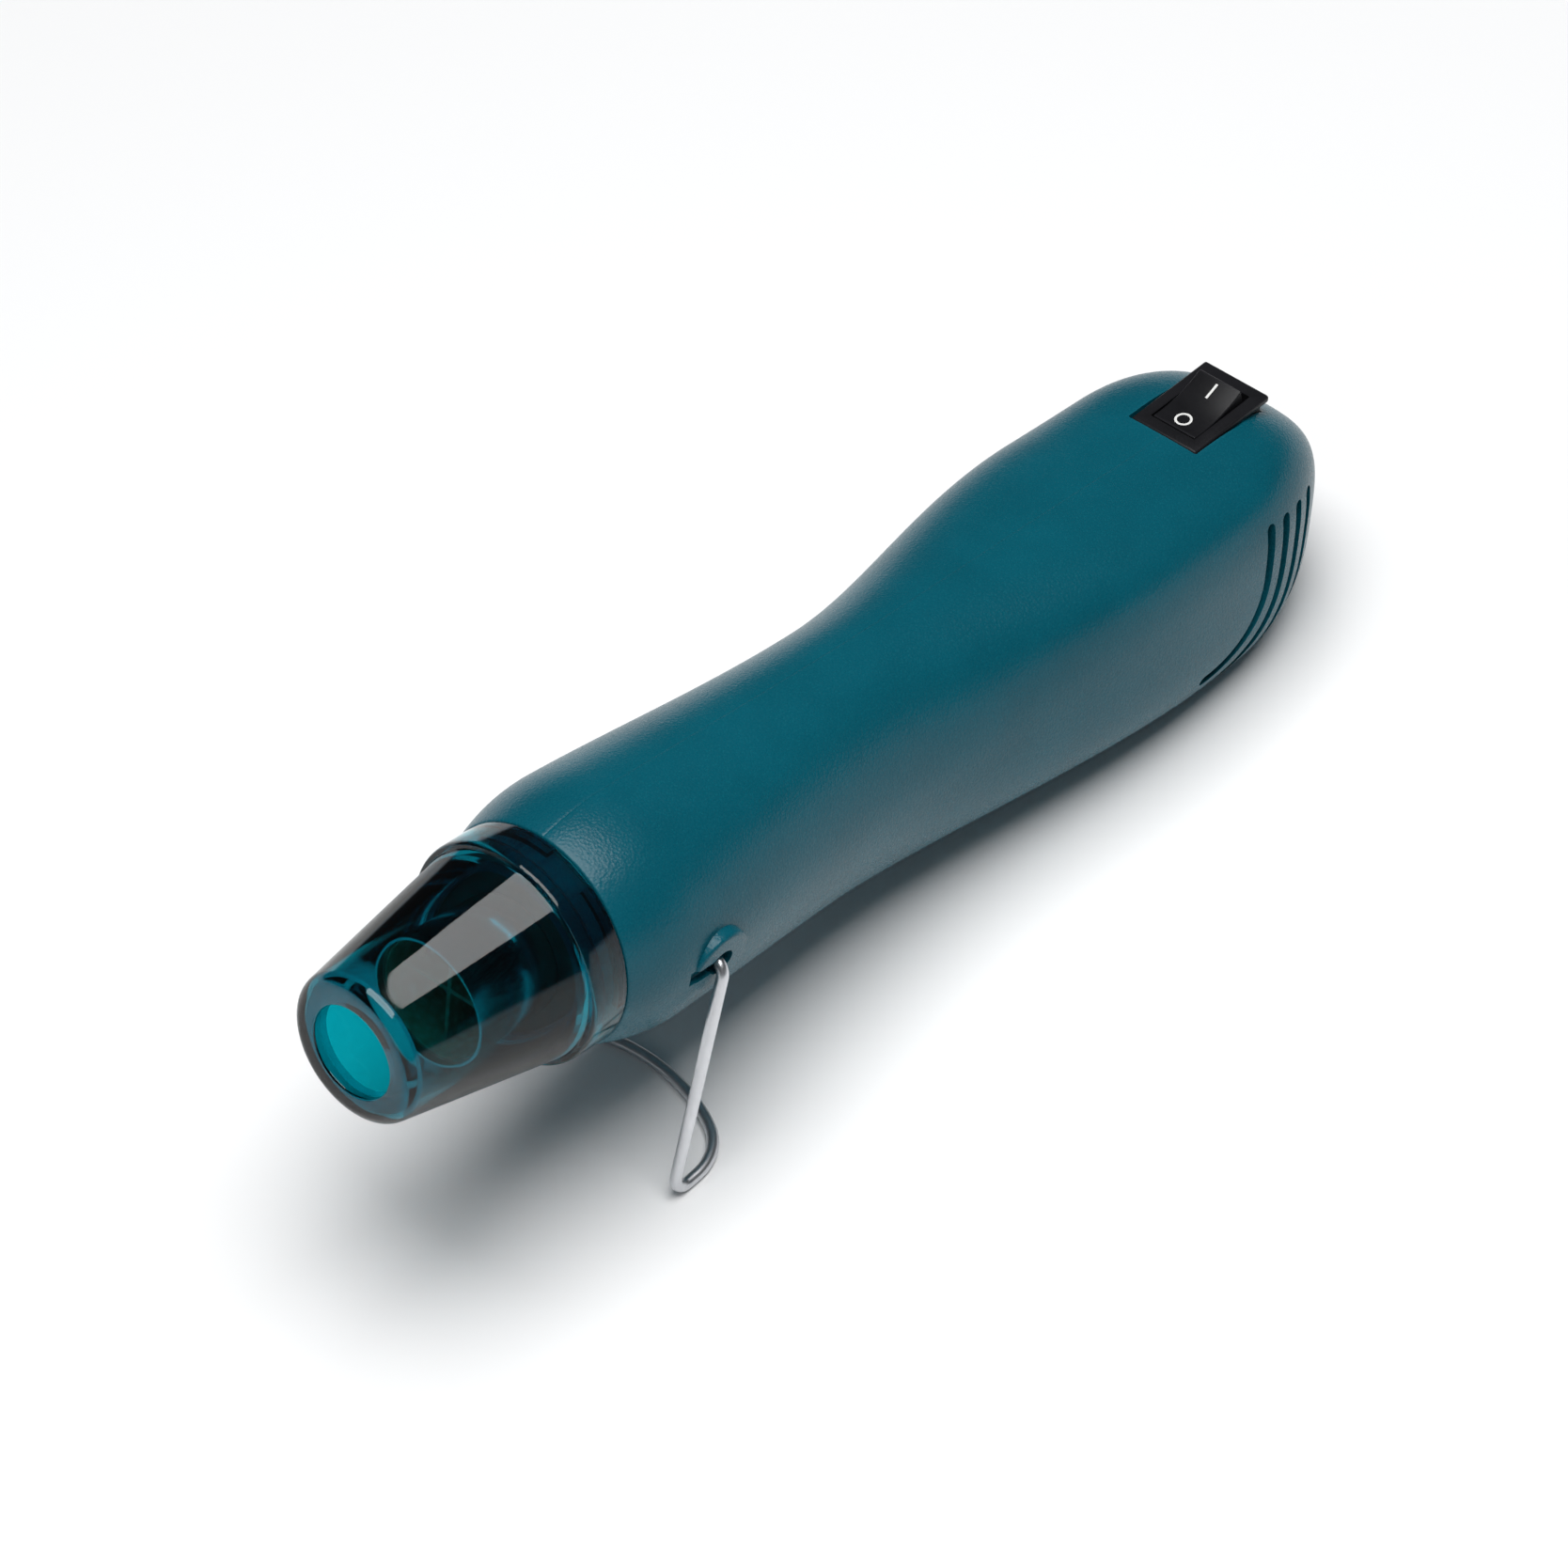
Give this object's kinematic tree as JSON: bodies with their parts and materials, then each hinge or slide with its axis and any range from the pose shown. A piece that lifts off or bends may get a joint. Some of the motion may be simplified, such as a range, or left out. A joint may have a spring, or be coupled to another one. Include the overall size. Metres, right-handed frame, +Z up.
{
  "type": "embossing heat tool",
  "caption": "Hand-held hot air tool with a waisted moulded body, tinted nozzle cap, rear rocker switch and a folding wire stand.",
  "frame": {"origin": "middle of the footprint on the floor, under the middle of the tool as it rests on its stand and its belly", "axes": "+X from the nozzle towards the tail, +Z up, the parting plane of the two shells is Y = 0"},
  "size_m": [0.2402, 0.0516, 0.074],
  "materials": {
    "body_teal": "moulded ABS with a fine spark-eroded grain",
    "cap_tint": "polished tinted heat-resistant plastic, translucent",
    "wire_steel": "drawn wire, satin nickel plate",
    "switch_black": "semi-gloss black nylon with white printed marks",
    "contact_brass": "stamped, tinned at the blades",
    "screw_steel": "zinc plated",
    "tube_steel": "rolled stainless sheet",
    "mica_sheet": "mica board, flaky and slightly glossy",
    "winding_alloy": "oxidised resistance wire",
    "collar_resin": "moulded phenolic resin",
    "duct_black": "glass-filled nylon",
    "fan_white": "moulded acetal",
    "motor_steel": "deep-drawn plated steel",
    "board_green": "lacquered laminate",
    "diode_black": "moulded epoxy with tinned leads",
    "capacitor_yellow": "potted plastic case",
    "bush_rubber": "soft moulded rubber",
    "clamp_white": "natural nylon"
  },
  "bodies": {
    "root": {"left_shell": "body_teal", "right_shell": "body_teal", "nozzle_cap": "cap_tint", "switch_frame": "switch_black", "switch_terminals": "contact_brass", "housing_screws": "screw_steel", "heater_tube": "tube_steel", "tube_liner": "mica_sheet", "mica_former": "mica_sheet", "heater_coil": "winding_alloy", "thermal_cutout": "motor_steel", "tube_collar": "collar_resin", "motor_can": "motor_steel", "motor_end_cap": "fan_white", "motor_terminals": "contact_brass", "motor_screws": "screw_steel", "fan_duct": "duct_black", "rectifier_board": "board_green", "rectifier_diodes": "diode_black", "suppressor_capacitor": "capacitor_yellow", "cord_gland": "bush_rubber", "cord_clamp": "clamp_white", "clamp_screws": "screw_steel"},
    "stand": {"wire_stand": "wire_steel"},
    "rocker": {"switch_rocker": "switch_black", "switch_plunger": "contact_brass"},
    "contact": {"switch_contact": "contact_brass"},
    "rotor": {"motor_shaft": "motor_steel", "fan": "fan_white"}
  },
  "joints": [
    {"name": "stand_fold", "type": "hinge", "parent": "root", "child": "stand", "pos_m": [-0.05533, 0, 0.04511], "axis": [0, 1, 0], "range_deg": [0, 81]},
    {"name": "rocker_tilt", "type": "hinge", "parent": "root", "child": "rocker", "pos_m": [0.09856, 0, 0.04202], "axis": [0, 1, 0], "range_deg": [0, 22]},
    {"name": "contact_tilt", "type": "hinge", "parent": "root", "child": "contact", "pos_m": [0.09835, 0, 0.03863], "axis": [0, 1, 0], "range_deg": [-11, 0]},
    {"name": "fan_spin", "type": "hinge", "parent": "root", "child": "rotor", "pos_m": [-0.03239, 0, 0.04436], "axis": [0.9836, 0, -0.1804], "continuous": true}
  ],
  "couplings": [
    {"joint": "contact_tilt", "follows": "rocker_tilt", "ratio": -0.5}
  ]
}
